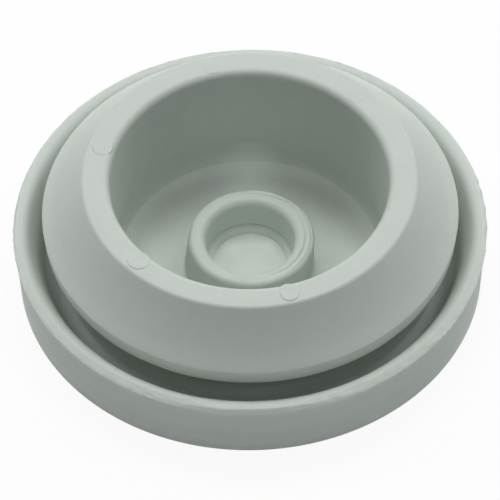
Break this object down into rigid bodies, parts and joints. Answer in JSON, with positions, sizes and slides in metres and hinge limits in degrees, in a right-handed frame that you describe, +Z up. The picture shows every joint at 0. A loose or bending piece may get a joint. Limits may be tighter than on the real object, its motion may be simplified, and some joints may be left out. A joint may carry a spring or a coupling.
{
  "type": "rubber grommet",
  "caption": "Soft one-piece blanking grommet: dished flange, panel groove, tapered insertion cone, and a cup closed by a thin membrane with a raised collar.",
  "frame": {"origin": "centre of the flat outer face, which is the underside as the grommet lies", "axes": "+Z up the axis of the grommet, from the outer face to the top of the insertion cone; +X and +Y are any two directions across it"},
  "size_m": [0.05, 0.05, 0.0149],
  "materials": {
    "rubber": "matte, moulded"
  },
  "bodies": {
    "root": {"grommet": "rubber"}
  },
  "joints": []
}
